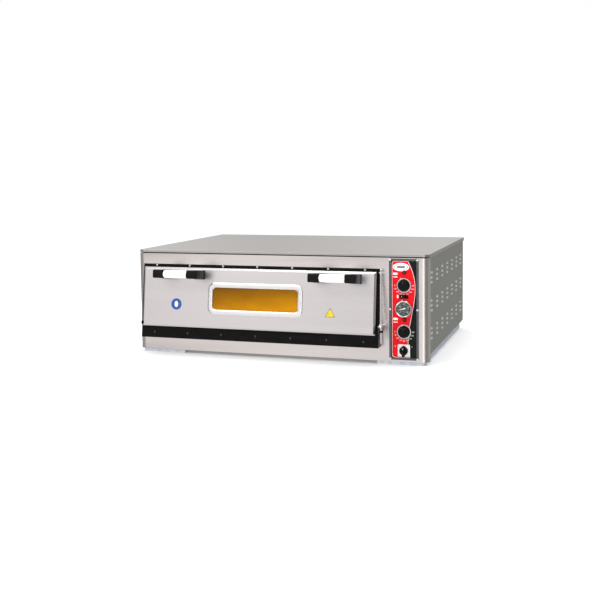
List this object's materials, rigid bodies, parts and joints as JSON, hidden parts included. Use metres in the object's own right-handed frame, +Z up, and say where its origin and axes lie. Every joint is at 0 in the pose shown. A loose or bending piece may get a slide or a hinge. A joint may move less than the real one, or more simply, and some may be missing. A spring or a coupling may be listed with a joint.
{
  "type": "deck oven",
  "caption": "Single-deck electric pizza oven: stainless casing, drop-down glazed door in a black mouth frame, control column at the right.",
  "frame": {"origin": "floor level, under the centre of the whole object's box", "axes": "+X to the right seen from the front, -Y out of the front, +Z up"},
  "size_m": [1.19, 1.0156, 0.415],
  "materials": {
    "stainless": "brushed stainless steel",
    "side_stainless": "dull grey stainless sheet",
    "galvanised": "zinc-coated sheet",
    "chrome": "bright plating",
    "black_enamel": "satin black enamel",
    "black_plastic": "moulded black plastic",
    "white_grip": "glazed white",
    "red_panel": "printed red and black foil",
    "amber_glass": "amber heat-proof glass",
    "clear_glass": "clear glass",
    "dial": "dark green dial",
    "white_plastic": "white plastic",
    "stone": "fireclay baking stone",
    "wool": "mineral wool blanket",
    "heater": "heat-darkened steel sheath",
    "rope": "woven glass-fibre seal",
    "copper": "bare copper tube",
    "ceramic": "cream ceramic",
    "lens": "dark red lens"
  },
  "bodies": {
    "casing": {"base_tray": "side_stainless", "foot_rail_left": "galvanised", "foot_rail_right": "galvanised", "side_panel_left": "side_stainless", "side_panel_right": "side_stainless", "back_panel": "side_stainless", "top_cover": "stainless", "front_fascia": "stainless", "mouth_frame": "black_enamel", "chamber_liner": "side_stainless", "deck_stone_left": "stone", "deck_stone_right": "stone", "stone_rail_front": "side_stainless", "stone_rail_rear": "side_stainless", "top_heater": "heater", "bottom_heater": "heater", "insulation_top": "wool", "insulation_bottom": "wool", "insulation_wrap": "wool", "compartment_wall": "galvanised", "lamp_holder": "ceramic", "lamp_glass": "clear_glass", "thermostat_upper": "black_plastic", "thermostat_lower": "black_plastic", "capillary_upper": "copper", "capillary_lower": "copper", "terminal_block": "ceramic", "cable_gland": "black_plastic", "control_panel_plate": "red_panel", "control_panel_frame": "stainless", "pilot_lamp_upper": "lens", "pilot_lamp_lower": "lens", "rocker_housing": "black_plastic", "gauge_case": "chrome", "gauge_dial": "dial", "gauge_glass": "clear_glass", "cam_switch_plate": "white_plastic", "cam_switch_body": "black_plastic", "knob_ring_upper": "chrome", "knob_ring_lower": "chrome", "rod_guide": "stainless"},
    "door": {"door_outer_panel": "stainless", "door_inner_pan": "side_stainless", "door_insulation": "wool", "window_bezel": "stainless", "window_glass_outer": "amber_glass", "window_glass_inner": "clear_glass", "door_seal": "rope", "door_axle": "chrome", "handle_frame_left": "black_plastic", "handle_frame_right": "black_plastic", "handle_grip_left": "white_grip", "handle_grip_right": "white_grip"},
    "gauge_needle": {"gauge_needle": "white_plastic"},
    "rocker": {"rocker": "black_plastic"},
    "knob_upper": {"knob_upper": "black_plastic"},
    "knob_lower": {"knob_lower": "black_plastic"},
    "cam_switch_knob": {"cam_switch_knob": "black_plastic"},
    "balance_rod": {"balance_rod": "chrome", "rod_knob": "chrome"}
  },
  "joints": [
    {"name": "door_hinge", "type": "hinge", "parent": "casing", "child": "door", "pos_m": [-0.077, -0.44067, 0.12675], "axis": [1, 0, 0], "range_deg": [0, 95]},
    {"name": "balance_rod_slide", "type": "slide", "parent": "casing", "child": "balance_rod", "axis": [-0.0262, 0.1248, 0.9918], "range_m": [-0.0212, 0]},
    {"name": "knob_upper_turn", "type": "hinge", "parent": "casing", "child": "knob_upper", "pos_m": [0.5015, -0.39601, 0.3], "axis": [0, 1, 0], "range_deg": [0, 270]},
    {"name": "knob_lower_turn", "type": "hinge", "parent": "casing", "child": "knob_lower", "pos_m": [0.5015, -0.39601, 0.126], "axis": [0, 1, 0], "range_deg": [0, 270]},
    {"name": "main_switch_turn", "type": "hinge", "parent": "casing", "child": "cam_switch_knob", "pos_m": [0.5015, -0.39601, 0.056], "axis": [0, 1, 0], "range_deg": [0, 90]},
    {"name": "rocker_press", "type": "hinge", "parent": "casing", "child": "rocker", "pos_m": [0.5015, -0.39481, 0.258], "axis": [0, 0, 1], "range_deg": [0, 20]},
    {"name": "gauge_needle_turn", "type": "hinge", "parent": "casing", "child": "gauge_needle", "pos_m": [0.5015, -0.39601, 0.213], "axis": [0, 1, 0], "range_deg": [-29, 241]}
  ],
  "couplings": [
    {"joint": "balance_rod_slide", "follows": "door_hinge", "m_per_rad": -0.01266}
  ]
}
